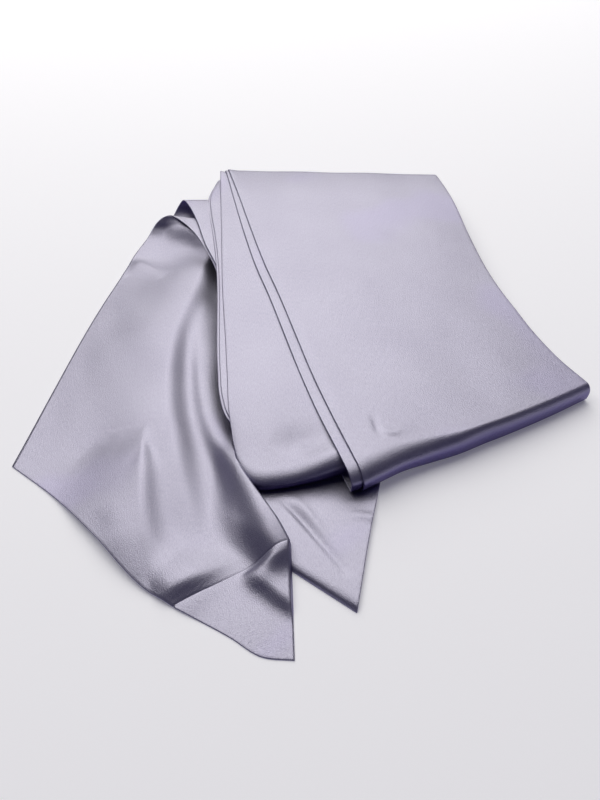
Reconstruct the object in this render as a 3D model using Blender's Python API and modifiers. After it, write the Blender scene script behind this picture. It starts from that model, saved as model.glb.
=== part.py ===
"""Evening stole of plain satin, folded in half along its length and laid in folds.

The stole is one long strip of two leaves.  It runs back and forth in a flat stack,
and both tails lie out at the front: the left one over the right one.  Tables hold
the plan of each stretch in millimetres, a row for each section from back to front.
"""

import math
from collections import namedtuple

import bmesh
import bpy
import numpy as np

MM = 0.001

# Driving sizes, in millimetres
CLOTH = 1.2                 # wall of one leaf
GAP = 0.3                   # space between pieces that touch
PITCH = CLOTH + GAP         # from the middle of one leaf to the middle of the next
FOLDED_RADIUS = 1.0         # lengthwise fold of the stole, at the right of each stretch
STACK_HEIGHT = 24.0         # top of the stack at its front left corner
STACK_RISE = 4.0            # how much higher the stack is at the back
STACK_DROOP = 11.0          # how much lower it is at its right front corner
DROOP_FADE = 0.55           # share of the droop that is gone at the back
STACK_LEFT, STACK_WIDTH = -85.0, 310.0
STACK_FRONT, STACK_LENGTH = -85.0, 375.0
HIDDEN_LEFT = -38.0         # left side of the layers hidden inside the stack
THIRD_RIGHT = HIDDEN_LEFT - CLOTH       # where the third stretch stops beside them
LOOP_RIGHT = HIDDEN_LEFT - 2.0          # where both back loops stop
LINE_GRIP = 6               # how closely a stretch's inner rows keep off its end lines
FOLD_STEPS = 8              # facets round a fold
MIDDLE = (7.76, 49.6)       # middle of the whole outline, moved to the origin

# Depth of each stretch below the top of the stack
SECOND_DEPTH = 2 * FOLDED_RADIUS + PITCH
HIDDEN_DEPTH = SECOND_DEPTH + CLOTH / 2 + GAP + 0.1

COLOUR = (0.56, 0.53, 0.67)

# The top stretch.  The lower leaf shows beyond the upper one by the overhang.
TopRow = namedtuple("TopRow", "left_x left_y right_x right_y overhang")
TOP_ROWS = (
    TopRow(-71, 288, 138, 284, 3),
    TopRow(-58, 240, 148, 235, 5.5),
    TopRow(-45, 190, 154, 185, 7),
    TopRow(-30, 136, 161, 140, 8),
    TopRow(-16.5, 94, 168, 110, 8),
    TopRow(-3, 48, 177, 82, 8),
    TopRow(10, 4, 187, 54, 8),
    TopRow(21.5, -31, 198, 28, 8),
    TopRow(33, -74.5, 212.5, 8.5, 7),
)

# Where the top stretch starts to turn down into its front fold
LinePoint = namedtuple("LinePoint", "x y")
TOP_FRONT_LINE = (
    LinePoint(33, -74.5),
    LinePoint(54, -69.5),
    LinePoint(102, -53.5),
    LinePoint(154, -31.5),
    LinePoint(192, -8.5),
    LinePoint(212.5, 8.5),
)

TOP_GRIP = 5
FRONT_REACH = (10.0, 8.0)   # how far the front fold stands out, at the left and the right
BACK_REACH = (12.0, 10.0)   # the same for the back fold
FRONT_RUN, BACK_RUN = 12.0, 10.0        # stretch that lies on the table under each fold
OVER_TAIL = 2.0             # lift of the front fold where it lies on the right tail
OVER_TAIL_ENDS = (0.13, 0.33)           # shares of the width between which the lift fades

# The second stretch, under the top one
Row = namedtuple("Row", "left_x left_y right_x right_y")
SECOND_ROWS = (
    Row(-80.5, 290, 131, 275),
    Row(-77, 247, 139, 232),
    Row(-71.5, 185, 147, 183),
    Row(-65, 107, 155, 135),
    Row(-58, 44, 163, 100),
    Row(-54, 5, 172, 70),
    Row(-50.5, -30, 182, 42),
    Row(-47, -50, 192, 15),
)
SECOND_FRONT_LINE = (
    LinePoint(-47, -50),
    LinePoint(-42, -60.5),
    LinePoint(-36, -69),
    LinePoint(-28, -75),
    LinePoint(0, -68.5),
    LinePoint(32, -60),
    LinePoint(100, -36),
    LinePoint(150, -14),
    LinePoint(192, 15),
)
SECOND_BACK_LINE = (
    LinePoint(-80.5, 290),
    LinePoint(-77, 288.5),
    LinePoint(-72, 284),
    LinePoint(-60, 281),
    LinePoint(131, 275),
)
SECOND_SHARES = (0, 0.015, 0.035, 0.07, 0.12, 0.18, 0.26, 0.35, 0.45, 0.56, 0.67, 0.78, 0.9, 1)
SECOND_REACH, SECOND_RUN = 9.0, 4.0
SECOND_BOTTOM = 3.4         # height of its front fold's underside over the right tail
OVER_TOP = 3.0              # lift of it where it lies inside the top stretch's fold
OVER_TOP_ENDS = (0.11, 0.25)            # shares of the width between which the lift grows
SECOND_BACK_REACH, SECOND_BACK_DROP, SECOND_BACK_RUN = 3.5, 3.0, 2.0

# The third stretch, which shows only along the left edge of the stack
EdgeRow = namedtuple("EdgeRow", "left_x left_y depth")
THIRD_ROWS = (
    EdgeRow(-81, 284, 8.5),
    EdgeRow(-83, 274, 7.5),
    EdgeRow(-87, 246, 5.4),
    EdgeRow(-84, 220, 5.1),
    EdgeRow(-78.5, 190, 5.1),
    EdgeRow(-74, 162, 5.1),
    EdgeRow(-70.5, 135, 5.1),
    EdgeRow(-67, 99, 5.1),
    EdgeRow(-64, 57, 5.1),
    EdgeRow(-60, 13, 5.1),
    EdgeRow(-56, -15, 5.1),
    EdgeRow(-51, -38, 5.1),
)

# Two nested loops behind the left tail, from the table up, over and forward
LoopRow = namedtuple("LoopRow", "left_x left_y left_z right_y right_z")
INNER_LOOP = (
    LoopRow(-162, 150, 0.6, 150, 0.6),
    LoopRow(-155, 180, 2.5, 178, 1.5),
    LoopRow(-146, 199, 6, 196, 3),
    LoopRow(-141, 209, 11, 208, 6.5),
    LoopRow(-136, 214, 16, 213, 10.5),
    LoopRow(-130, 217, 19.5, 212, 13.5),
    LoopRow(-122, 217, 21, 206, 14.6),
    LoopRow(-109, 206, 20, 195, 14.9),
    LoopRow(-96, 189, 18.5, 180, 15),
    LoopRow(-84, 164, 17.5, 160, 15),
    LoopRow(-74, 139, 16.6, 140, 15),
    LoopRow(-68, 112, 15.8, 112, 15),
)
OUTER_LOOP = (
    LoopRow(-128, 226, 3, 244, 2),
    LoopRow(-123, 238, 9, 253, 6),
    LoopRow(-118, 243.5, 16, 256, 11),
    LoopRow(-113, 243, 21.5, 253, 15.5),
    LoopRow(-106, 231.5, 22.2, 242, 16.8),
    LoopRow(-97, 209.5, 21.3, 219, 17.2),
    LoopRow(-86.5, 176, 19.8, 187, 17.4),
    LoopRow(-80, 158, 19.1, 162, 17.3),
)

# The left tail: its free edge, its right border with the height of the soft roll there,
# and its slanted end, which a seam crosses
TAIL_LEFT_EDGE = (
    LinePoint(-203, -63),
    LinePoint(-190, 9),
    LinePoint(-176, 84),
    LinePoint(-162, 150),
)
BorderRow = namedtuple("BorderRow", "x y roll")
TAIL_BORDER = (
    BorderRow(-6, -128, 3),
    BorderRow(-15, -115, 8),
    BorderRow(-21.5, -103, 10.5),
    BorderRow(-32.5, -87, 11),
    BorderRow(-41.5, -72, 9),
    BorderRow(-51, -42, 7),
    BorderRow(-48, -15, 5),
    BorderRow(-42, 20, 3),
    BorderRow(-40, 70, 1),
    BorderRow(-40, 150, 0),
)
TAIL_END = (
    LinePoint(-203, -63),
    LinePoint(-166, -90.5),
    LinePoint(-136.5, -118),
    LinePoint(-93, -159),
    LinePoint(-77, -168.5),
)
ROLL_START, ROLL_CREST = 0.84, 0.94     # shares of the width where the roll starts and peaks
TAIL_GRIP = 1.6
SEAM_ROLL = 3.0             # height of the border's roll at the seam
CORNER_START = 0.03         # share of the seam where the corner piece starts
SEAM = (
    LinePoint(-77, -168.5),
    LinePoint(-43, -149),
    LinePoint(-6, -128),
)
CORNER_END = (
    LinePoint(-77, -168.5),
    LinePoint(-41, -187.5),
    LinePoint(-22, -199),
    LinePoint(-3, -201),
)

# Soft folds of the left tail: the crest's path, its height and its half width
FoldPoint = namedtuple("FoldPoint", "x y height spread")
INNER_FOLD = (
    FoldPoint(-98, 172, 7, 13),
    FoldPoint(-107, 124, 9, 15),
    FoldPoint(-109, 72, 7, 16),
    FoldPoint(-116, 35, 0, 18),
)
LONG_FOLD = (
    FoldPoint(-68, 110, 5, 9),
    FoldPoint(-73, 72, 8, 10),
    FoldPoint(-78, 43, 9, 11),
    FoldPoint(-75, 8, 9, 11),
    FoldPoint(-67, -24, 9, 11),
    FoldPoint(-54, -60, 8, 11),
    FoldPoint(-42, -85, 4, 10),
    FoldPoint(-30, -102, 0, 9),
)
TAIL_FOLDS = (INNER_FOLD, LONG_FOLD)
LOOP_FADE = 7               # rows of the inner loop over which the soft folds die out

# The right tail, on the table
RIGHT_TAIL_ROWS = (
    Row(-34, -73, 51, -60),
    Row(-33, -84, 55, -82),
    Row(-31, -104, 48, -115),
    Row(-26, -130, 34, -172),
)
TAIL_STEP = 2 * GAP + CLOTH             # lift of the left tail where it lies on the right one
TAIL_STEP_EDGE = (-9.0, -1.5)           # distance from the right tail's end where it rises
TAIL_STEP_LEFT = (-52.0, -41.0)         # x where it rises
TAIL_STEP_BACK = (-60.0, -35.0)         # y where it falls again

# Plan of the hidden layers under the second stretch
HIDDEN_ROWS = (
    Row(HIDDEN_LEFT, 266, 126, 264),
    Row(HIDDEN_LEFT, 220, 134, 226),
    Row(HIDDEN_LEFT, 150, 143, 183),
    Row(HIDDEN_LEFT, 80, 151, 135),
    Row(HIDDEN_LEFT, 20, 159, 100),
    Row(HIDDEN_LEFT, -25, 170, 70),
    Row(HIDDEN_LEFT, -57, 184, 24),
)
HIDDEN_SHARES = (0, 0.03, 0.08, 0.17, 0.28, 0.4, 0.52, 0.64, 0.76, 0.88, 1)
HIDDEN_FRONT_LINE = (
    LinePoint(HIDDEN_LEFT, -57),
    LinePoint(-28, -66),
    LinePoint(0, -59.5),
    LinePoint(32, -51),
    LinePoint(100, -27),
    LinePoint(150, -5),
    LinePoint(184, 24),
)
HIDDEN_LAYERS = 4           # folded stretches inside, each a soft bulge at the sides
HIDDEN_SCALLOP = 2.2        # how far the side sinks between two of them


def smooth(table, count):
    """Read count rows from a smooth curve through the table, at even steps along it."""
    rows = np.array(table, dtype=float)
    steps = np.linalg.norm(np.diff(rows[:, :2], axis=0), axis=1)
    knots = np.concatenate(([0.0], np.cumsum(steps)))
    slopes = np.gradient(rows, knots, axis=0)
    at = np.linspace(0.0, knots[-1], count)
    k = np.clip(np.searchsorted(knots, at, side="right") - 1, 0, len(rows) - 2)
    span = knots[k + 1] - knots[k]
    f = ((at - knots[k]) / span)[:, None]
    span = span[:, None]
    return ((1 + 2 * f) * (1 - f) ** 2 * rows[k] + f * (1 - f) ** 2 * span * slopes[k]
            + f * f * (3 - 2 * f) * rows[k + 1] + f * f * (f - 1) * span * slopes[k + 1])


def along(table, t):
    """Points of a polyline at the fractions t of its length."""
    rows = np.array(table, dtype=float)
    steps = np.linalg.norm(np.diff(rows[:, :2], axis=0), axis=1)
    knots = np.concatenate(([0.0], np.cumsum(steps))) / steps.sum()
    return np.stack([np.interp(t, knots, column) for column in rows.T], axis=-1)


def path_length(table):
    """Length of a polyline."""
    points = np.array([row[0:2] for row in table], dtype=float)
    return np.linalg.norm(np.diff(points, axis=0), axis=1).sum()


def ramp(value, low, high):
    """Smooth step from 0 at low to 1 at high."""
    f = np.clip((value - low) / (high - low), 0.0, 1.0)
    return f * f * (3.0 - 2.0 * f)


def stack_top(x, y):
    """Height of the top of the stack: it rises to the back and droops to the right."""
    across = (x - STACK_LEFT) / STACK_WIDTH
    back = (y - STACK_FRONT) / STACK_LENGTH
    droop = STACK_DROOP * across ** 2 * (1.0 - DROOP_FADE * back)
    return STACK_HEIGHT + STACK_RISE * back - droop


def mixed(ends, t):
    """Values at the fractions t between two ends."""
    return ends[0] + (ends[1] - ends[0]) * t


def between(rows, t):
    """Plan points at the fractions t, one row of them for each section."""
    left, right = rows[:, None, 0:2], rows[:, None, 2:4]
    return left + (right - left) * t[..., None]


def follow_line(plan, line, t, grip):
    """Bend the last rows of a plan so that its last row lies on the given line.

    The bend fades towards the first row with the power grip.
    """
    inside = np.clip(t, 0.0, 1.0)
    ends = np.array([[line[0].x, line[0].y, line[-1].x, line[-1].y]], dtype=float)
    bend = along(line, inside) - between(ends, inside[None, :])[0]
    weight = np.linspace(0.0, 1.0, len(plan)) ** grip
    return plan + weight[:, None, None] * bend[None]


def lay_on_stack(plan, depth):
    """Give plan points their height, depth below the top of the stack."""
    height = stack_top(plan[..., 0], plan[..., 1]) - depth
    return np.concatenate([plan, height[..., None]], axis=-1)


def fold_under(grid, reach, bottom, steps, run):
    """Carry the last row round a half ellipse down to the height bottom, then back.

    reach is how far the fold stands out, and run is the length of the stretch under it.
    """
    edge = grid[-1]
    ahead = grid[-1] - grid[-2]
    ahead[:, 2] = 0.0
    ahead /= np.linalg.norm(ahead, axis=1)[:, None]
    down = np.array([0.0, 0.0, -1.0])
    drop = edge[:, 2] - bottom
    rows = [grid]
    for angle in np.linspace(0.0, math.pi, steps + 1)[1:]:
        out = reach * math.sin(angle)
        sunk = drop * (1.0 - math.cos(angle)) / 2
        rows.append((edge + ahead * out[:, None] + down * sunk[:, None])[None])
    rows.append((rows[-1][0] - ahead * run)[None])
    return np.concatenate(rows)


def side_normals(grid):
    """Unit normals of a grid whose rows run forward and whose columns run to the right."""
    forward = np.gradient(grid, axis=0)
    across = np.gradient(grid, axis=1)
    normal = np.cross(forward, across)
    return normal / np.linalg.norm(normal, axis=2)[..., None]


def grid_faces(rows, columns, first=0):
    """Quads of a grid of vertices, numbered row by row."""
    at = np.arange(rows * columns).reshape(rows, columns) + first
    quads = np.stack([at[:-1, :-1], at[1:, :-1], at[1:, 1:], at[:-1, 1:]], axis=-1)
    return quads.reshape(-1, 4).tolist()


def satin(name):
    """Pale lavender grey satin."""
    material = bpy.data.materials.new(name)
    material.use_nodes = True
    shader = material.node_tree.nodes["Principled BSDF"]
    shader.inputs["Base Color"].default_value = (*COLOUR, 1.0)
    shader.inputs["Roughness"].default_value = 0.4
    shader.inputs["Metallic"].default_value = 0.0
    return material


def new_object(name, points, faces):
    """Make a named mesh object from points in millimetres, moved to the origin."""
    placed = (np.asarray(points, dtype=float) - (MIDDLE[0], MIDDLE[1], 0.0)) * MM
    mesh = bpy.data.meshes.new(name)
    mesh.from_pydata(placed.tolist(), [], faces)
    mesh.materials.append(satin(name + "_satin"))
    mesh.update()
    obj = bpy.data.objects.new(name, mesh)
    bpy.data.collections["evening_stole"].objects.link(obj)
    return obj


def leaf(name, grid):
    """A leaf of cloth: a grid through the middle of a wall of even thickness."""
    rows, columns = grid.shape[:2]
    obj = new_object(name, grid.reshape(-1, 3), grid_faces(rows, columns))
    wall = obj.modifiers.new("wall", "SOLIDIFY")
    wall.thickness = CLOTH * MM
    wall.offset = 0.0
    wall.use_even_offset = True
    obj.data.shade_smooth()
    return obj


def top_stretch():
    """The top stretch: an upper and a lower leaf, joined by the fold at the right."""
    rows = smooth(TOP_ROWS, 17)
    width = np.linalg.norm(rows[:, 2:4] - rows[:, 0:2], axis=1)
    outer_t = np.repeat(np.linspace(0.0, 1.0, 14)[None], len(rows), axis=0)
    inner_t = np.concatenate([-(rows[:, 4] / width)[:, None], outer_t], axis=1)

    def wrapped(t):
        plan = follow_line(between(rows, t), TOP_FRONT_LINE, t[-1], TOP_GRIP)
        grid = lay_on_stack(plan, 0.0)
        bottom = CLOTH / 2 + OVER_TAIL * (1.0 - ramp(t[-1], *OVER_TAIL_ENDS))
        grid = fold_under(grid, mixed(FRONT_REACH, t[-1]), bottom, FOLD_STEPS, FRONT_RUN)
        bottom = np.full(t.shape[1], CLOTH / 2)
        grid = fold_under(grid[::-1], mixed(BACK_REACH, t[0]), bottom, FOLD_STEPS, BACK_RUN)
        return grid[::-1]

    outer = wrapped(outer_t)
    base = wrapped(inner_t)
    inner = base - side_normals(base) * 2 * FOLDED_RADIUS
    edge = outer[:, -1]
    normal = side_normals(outer)[:, -1]
    across = outer[:, -1] - outer[:, -2]
    across /= np.linalg.norm(across, axis=1)[:, None]
    turn = []
    for angle in np.linspace(0.0, math.pi, 6)[1:-1]:
        out = FOLDED_RADIUS * math.sin(angle)
        sunk = FOLDED_RADIUS * (1.0 - math.cos(angle))
        turn.append((edge + across * out - normal * sunk)[:, None])
    leaf("top_stretch", np.concatenate([outer, *turn, inner[:, ::-1]], axis=1))


def second_stretch():
    """The second stretch, whose front fold shows inside the front fold of the top one."""
    rows = smooth(SECOND_ROWS, 15)
    t = np.array(SECOND_SHARES, dtype=float)
    plan = between(rows, np.repeat(t[None], len(rows), axis=0))
    plan = follow_line(plan, SECOND_FRONT_LINE, t, LINE_GRIP)
    plan = follow_line(plan[::-1], SECOND_BACK_LINE, t, LINE_GRIP)[::-1]
    grid = lay_on_stack(plan, SECOND_DEPTH)
    bottom = SECOND_BOTTOM + OVER_TOP * ramp(t, *OVER_TOP_ENDS)
    reach = np.full(len(t), SECOND_REACH)
    grid = fold_under(grid, reach, bottom, FOLD_STEPS, SECOND_RUN)
    back = grid[::-1]
    bottom = back[-1][:, 2] - SECOND_BACK_DROP
    reach = np.full(len(t), SECOND_BACK_REACH)
    leaf("second_stretch", fold_under(back, reach, bottom, FOLD_STEPS, SECOND_BACK_RUN)[::-1])


def third_stretch():
    """The third stretch: the strip of it that shows beyond the second one's left edge."""
    rows = smooth(THIRD_ROWS, 22)
    t = np.linspace(0.0, 1.0, 5)
    sections = np.stack([rows[:, 0], rows[:, 1], np.full(len(rows), THIRD_RIGHT), rows[:, 1]], axis=1)
    plan = between(sections, np.repeat(t[None], len(rows), axis=0))
    leaf("third_stretch", lay_on_stack(plan, rows[:, 2][:, None]))


def smooth_loop(table, count):
    """Read count rows from a smooth curve through a loop's rows."""
    rows = np.array(table, dtype=float)
    knots = np.arange(len(rows), dtype=float)
    at = np.linspace(0.0, knots[-1], count)
    slopes = np.gradient(rows, axis=0)
    k = np.clip(at.astype(int), 0, len(rows) - 2)
    f = (at - k)[:, None]
    return ((1 + 2 * f) * (1 - f) ** 2 * rows[k] + f * (1 - f) ** 2 * slopes[k]
            + f * f * (3 - 2 * f) * rows[k + 1] + f * f * (f - 1) * slopes[k + 1])


def loop_grid(table, count, t):
    """Straight sections from the left to the right end of each row of a loop."""
    rows = smooth_loop(table, count)
    left = rows[:, None, 0:3]
    right = np.column_stack([np.full(count, LOOP_RIGHT), rows[:, 3:5]])[:, None]
    return left + (right - left) * t[None, :, None]


def outer_loop():
    """The outer leaf's loop behind the left tail."""
    leaf("outer_back_loop", loop_grid(OUTER_LOOP, 20, np.linspace(0.0, 1.0, 8)))


def soft_folds(x, y):
    """Height of the left tail's soft folds over plan points.

    Each is a ridge along its path, with a bell shaped section.
    """
    total = np.zeros_like(x)
    for fold in TAIL_FOLDS:
        path = smooth(fold, 40)
        away = np.hypot(x[..., None] - path[:, 0], y[..., None] - path[:, 1])
        near = away.argmin(axis=-1)
        share = away.min(axis=-1) / path[near, 3]
        total = total + path[near, 2] * np.exp(-share ** 2)
    return total


def table_height(x, y):
    """Middle of a leaf that lies on the table, or on the right tail's corner."""
    first, last = RIGHT_TAIL_ROWS[-1][0:2], RIGHT_TAIL_ROWS[-1][2:4]
    run = np.array(last, dtype=float) - first
    run /= np.linalg.norm(run)
    inside = (x - first[0]) * -run[1] + (y - first[1]) * run[0]
    over_tail = ramp(inside, *TAIL_STEP_EDGE) * ramp(x, *TAIL_STEP_LEFT)
    over_tail = over_tail * (1.0 - ramp(y, *TAIL_STEP_BACK))
    return CLOTH / 2 + TAIL_STEP * over_tail


def border_roll(t, roll):
    """Section of the soft roll at the right border: a bell that ends in a steep side."""
    rise = ramp(t, ROLL_START, ROLL_CREST)
    fall = np.clip((t - ROLL_CREST) / (1.0 - ROLL_CREST), 0.0, 1.0)
    return roll * np.where(t < ROLL_CREST, rise, np.sqrt(1.0 - fall ** 2))


def left_tail():
    """The left tail, with the inner leaf's loop behind it."""
    front_line = TAIL_END + SEAM[1:]
    corner = path_length(TAIL_END) / path_length(front_line)
    t = np.concatenate([np.linspace(0.0, corner, 14), np.linspace(corner, ROLL_START, 4)[1:],
                        np.linspace(ROLL_START, 1.0, 7)[1:]])
    count = 17
    left = smooth(TAIL_LEFT_EDGE, count)
    border = smooth(TAIL_BORDER, count)
    sections = np.concatenate([left, border[:, 0:2]], axis=1)
    front = along(front_line, t)
    straight = between(sections[:1], t[None])[0]
    weight = (1.0 - np.linspace(0.0, 1.0, count)) ** TAIL_GRIP
    plan = between(sections, np.repeat(t[None], count, axis=0))
    plan = plan + weight[:, None, None] * (front - straight)[None]
    x, y = plan[..., 0], plan[..., 1]
    z = table_height(x, y) + soft_folds(x, y) + border_roll(t[None], border[:, 2:3])
    lying = np.stack([x, y, z], axis=-1)
    loop = loop_grid(INNER_LOOP, 26, t)
    lift = soft_folds(loop[..., 0], loop[..., 1])
    fade = np.linspace(1.0, 0.0, LOOP_FADE)
    loop[:LOOP_FADE, :, 2] += lift[:LOOP_FADE] * fade[:, None]
    leaf("left_tail", np.concatenate([lying[:-1], loop])[::-1])


def tail_corner():
    """The corner pieced on to the left tail beyond the seam."""
    count = 9
    t = np.linspace(CORNER_START, 1.0, count)
    seam = along(SEAM, t)
    end = along(CORNER_END, t)
    away = end - seam
    away /= np.linalg.norm(away, axis=1)[:, None]
    seam = seam + away * GAP
    across = np.linspace(0.0, 1.0, 8)[:, None, None]
    plan = seam[None] + (end - seam)[None] * across
    x, y = plan[..., 0], plan[..., 1]
    roll = border_roll(t[None], SEAM_ROLL * (1.0 - across[..., 0]) ** 2)
    leaf("tail_corner", np.stack([x, y, table_height(x, y) + roll], axis=-1))


def right_tail():
    """The right tail, flat on the table."""
    rows = smooth(RIGHT_TAIL_ROWS, 10)
    plan = between(rows, np.repeat(np.linspace(0.0, 1.0, 9)[None], len(rows), axis=0))
    height = np.full(plan.shape[:2] + (1,), CLOTH / 2)
    leaf("right_tail", np.concatenate([plan, height], axis=-1))


def hidden_layers():
    """The layers folded inside the stack, as one solid with a bulge for each at the sides."""
    rows = smooth(HIDDEN_ROWS, 13)
    t = np.array(HIDDEN_SHARES, dtype=float)
    plan = between(rows, np.repeat(t[None], len(rows), axis=0))
    plan = follow_line(plan, HIDDEN_FRONT_LINE, t, LINE_GRIP)
    top = lay_on_stack(plan, HIDDEN_DEPTH)
    bottom = np.concatenate([plan, np.zeros(plan.shape[:2] + (1,))], axis=-1)
    count, columns = plan.shape[:2]
    at = np.arange(count * columns).reshape(count, columns)
    rim = np.concatenate([at[:, 0], at[-1, 1:], at[-2::-1, -1], at[0, -2:0:-1]])
    loop = plan.reshape(-1, 2)[rim]
    tangent = np.roll(loop, -1, axis=0) - np.roll(loop, 1, axis=0)
    inward = np.stack([-tangent[:, 1], tangent[:, 0]], axis=1)
    inward /= np.linalg.norm(inward, axis=1)[:, None]
    levels = np.linspace(0.0, 1.0, 3 * HIDDEN_LAYERS + 1)
    sink = HIDDEN_SCALLOP * (1.0 - np.abs(np.sin(levels * math.pi * HIDDEN_LAYERS)))
    sink[0] = sink[-1] = 0.0
    heights = top.reshape(-1, 3)[rim, 2]
    points = [bottom.reshape(-1, 3), top.reshape(-1, 3)]
    faces = [face[::-1] for face in grid_faces(count, columns)]
    faces += grid_faces(count, columns, count * columns)
    ring = [rim]
    total = 2 * count * columns
    for share, depth in zip(levels[1:-1], sink[1:-1]):
        points.append(np.column_stack([loop + inward * depth, heights * share]))
        ring.append(np.arange(total, total + len(rim)))
        total += len(rim)
    ring.append(rim + count * columns)
    for low, high in zip(ring[:-1], ring[1:]):
        quads = np.stack([low, np.roll(low, -1), np.roll(high, -1), high], axis=1)
        faces += quads.tolist()
    obj = new_object("hidden_layers", np.concatenate(points), faces)
    shape = bmesh.new()
    shape.from_mesh(obj.data)
    bmesh.ops.recalc_face_normals(shape, faces=shape.faces)
    shape.to_mesh(obj.data)
    shape.free()


for old in list(bpy.data.objects):
    bpy.data.objects.remove(old, do_unlink=True)
bpy.context.scene.collection.children.link(bpy.data.collections.new("evening_stole"))
hidden_layers()
right_tail()
left_tail()
tail_corner()
outer_loop()
third_stretch()
second_stretch()
top_stretch()
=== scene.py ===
"""Looks of the evening stole: plain lavender grey satin, folded and laid out on a table.

Lengths in the tables are millimetres, measured from the point of the table that the
camera looks at, x to the right and y away from the viewer.
"""

import math
from collections import namedtuple

import bpy
import numpy as np
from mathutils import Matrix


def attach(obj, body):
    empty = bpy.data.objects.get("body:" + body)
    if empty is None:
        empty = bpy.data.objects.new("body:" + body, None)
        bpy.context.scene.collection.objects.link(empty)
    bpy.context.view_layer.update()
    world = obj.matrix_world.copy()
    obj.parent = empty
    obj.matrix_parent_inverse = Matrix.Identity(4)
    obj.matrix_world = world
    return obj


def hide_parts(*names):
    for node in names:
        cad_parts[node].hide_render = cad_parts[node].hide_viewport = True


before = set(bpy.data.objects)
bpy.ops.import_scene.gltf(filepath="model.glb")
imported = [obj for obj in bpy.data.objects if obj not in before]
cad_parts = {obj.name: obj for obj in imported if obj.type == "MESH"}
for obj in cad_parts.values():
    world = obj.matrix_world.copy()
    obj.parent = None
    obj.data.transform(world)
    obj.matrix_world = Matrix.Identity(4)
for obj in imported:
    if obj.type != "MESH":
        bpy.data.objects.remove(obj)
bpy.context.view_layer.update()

# The table and the daylight studio.  The stole lies on a plain pale table top.  One wide
# softbox hangs behind it, a narrow one stands below that, and a faint cool light fills in.
MM = 0.001
MIDDLE = np.array([7.76, 49.6, 0.0])    # middle of the stole's outline in the tables
CAMERA_ELEVATION = math.radians(48.0)
CAMERA_DISTANCE = 0.5366667
CAMERA_LENS, CAMERA_SENSOR = 31.5, 36.0
CAMERA_NEAREST = 0.01

camera = bpy.data.objects.new("camera", bpy.data.cameras.new("camera"))
bpy.context.scene.collection.objects.link(camera)
camera.data.lens = CAMERA_LENS
camera.data.sensor_width = CAMERA_SENSOR
camera.data.clip_start = CAMERA_NEAREST
camera.location = (
    -MIDDLE[0] * MM,
    -MIDDLE[1] * MM - math.cos(CAMERA_ELEVATION) * CAMERA_DISTANCE,
    math.sin(CAMERA_ELEVATION) * CAMERA_DISTANCE,
)
camera.rotation_euler = (math.pi / 2 - CAMERA_ELEVATION, 0.0, 0.0)
bpy.context.scene.camera = camera


class Value:
    """A shader number: arithmetic on it adds Math nodes to its material."""

    def __init__(self, material, socket):
        self.material = material
        self.socket = socket

    def math(self, operation, first, second):
        return self.material.node("ShaderNodeMath", {"operation": operation}, {0: first, 1: second})

    def __add__(self, other):
        return self.math("ADD", self, other)

    def __mul__(self, other):
        return self.math("MULTIPLY", self, other)

    def __sub__(self, other):
        return self.math("SUBTRACT", self, other)

    def __rsub__(self, other):
        return self.math("SUBTRACT", other, self)

    __radd__ = __add__
    __rmul__ = __mul__


class Finish:
    """A material, with one method that adds any node and gives back its first output."""

    def __init__(self, name):
        self.data = bpy.data.materials.new(name)
        self.data.use_nodes = True
        self.tree = self.data.node_tree
        self.shader = self.tree.nodes["Principled BSDF"]

    def feed(self, socket, value):
        """Link a shader value to a socket, or set the socket to a plain one."""
        if isinstance(value, Value):
            self.tree.links.new(value.socket, socket)
        else:
            socket.default_value = value

    def node(self, kind, settings, inputs, output=0):
        """Add a node: its settings first, then the values or links of its sockets."""
        made = self.tree.nodes.new(kind)
        for name, value in settings.items():
            setattr(made, name, value)
        for name, value in inputs.items():
            self.feed(made.inputs[name], value)
        return Value(self, made.outputs[output])


TABLE_COLOUR = (0.88, 0.885, 0.96, 1.0)
TABLE_GLOW_COLOUR, TABLE_GLOW = (0.98, 0.98, 1.0, 1.0), 0.12


def table_top():
    """Matt near white table top, with a faint fine grain in its roughness.

    It glows a little, like the bleached ground of a studio picture.
    """
    finish = Finish("table_top")
    place = finish.node("ShaderNodeTexCoord", {}, {}, "Object")
    grain = finish.node("ShaderNodeTexNoise", {}, {"Vector": place, "Scale": 900.0})
    finish.feed(finish.shader.inputs["Roughness"], grain * 0.1 + 0.8)
    finish.shader.inputs["Base Color"].default_value = TABLE_COLOUR
    finish.shader.inputs["Specular IOR Level"].default_value = 0.1
    finish.shader.inputs["Emission Color"].default_value = TABLE_GLOW_COLOUR
    finish.shader.inputs["Emission Strength"].default_value = TABLE_GLOW
    return finish.data


FLOOR_HALF = 3.0            # metres, as FLOOR_Z
FLOOR_Z = -0.0002           # just below the cloth, so that no two faces share a plane
floor_mesh = bpy.data.meshes.new("table")
floor_mesh.from_pydata(
    [(-FLOOR_HALF, -FLOOR_HALF, FLOOR_Z), (FLOOR_HALF, -FLOOR_HALF, FLOOR_Z),
     (FLOOR_HALF, FLOOR_HALF, FLOOR_Z), (-FLOOR_HALF, FLOOR_HALF, FLOOR_Z)],
    [], [(0, 1, 2, 3)])
floor_mesh.materials.append(table_top())
floor = bpy.data.objects.new("table", floor_mesh)
bpy.context.scene.collection.objects.link(floor)


def softbox(name, place, target, size, power, colour):
    """A rectangular area light at place, turned to the target."""
    light = bpy.data.lights.new(name, "AREA")
    light.shape = "RECTANGLE"
    light.size, light.size_y = size
    light.energy = power
    light.color = colour
    lamp = bpy.data.objects.new(name, light)
    bpy.context.scene.collection.objects.link(lamp)
    direction = np.array(target, dtype=float) - np.array(place, dtype=float)
    reach = math.hypot(direction[0], direction[1])
    lamp.location = place
    lamp.rotation_euler = (math.atan2(reach, -direction[2]), 0.0,
                           -math.atan2(direction[0], direction[1]))


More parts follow.
